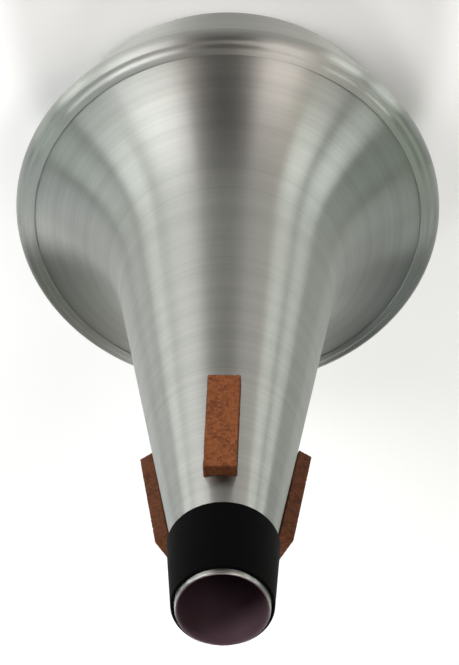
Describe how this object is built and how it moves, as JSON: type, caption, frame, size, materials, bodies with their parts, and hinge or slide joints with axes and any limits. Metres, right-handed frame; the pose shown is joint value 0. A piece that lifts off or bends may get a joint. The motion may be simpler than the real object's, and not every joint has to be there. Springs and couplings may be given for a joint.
{
  "type": "trombone straight mute",
  "caption": "Straight mute for a tenor trombone: hollow spun aluminium cone flaring to a closed wide base, open at the small end, with a rubber throat sleeve and cork strips that hold it in the bell.",
  "frame": {"origin": "centre of the wide base, on the plane that the mute stands on", "axes": "+Z along the mute's axis from the wide base to the small open end; one cork strip faces -Y"},
  "size_m": [0.128, 0.128, 0.217],
  "materials": {
    "spun_body": "satin",
    "spun_cap": "satin",
    "sleeve_rubber": "matte",
    "cork": "matte"
  },
  "bodies": {
    "root": {"body_shell": "spun_body", "base_cap": "spun_cap", "throat_sleeve": "sleeve_rubber", "cork_front": "cork", "cork_left": "cork", "cork_right": "cork"}
  },
  "joints": []
}
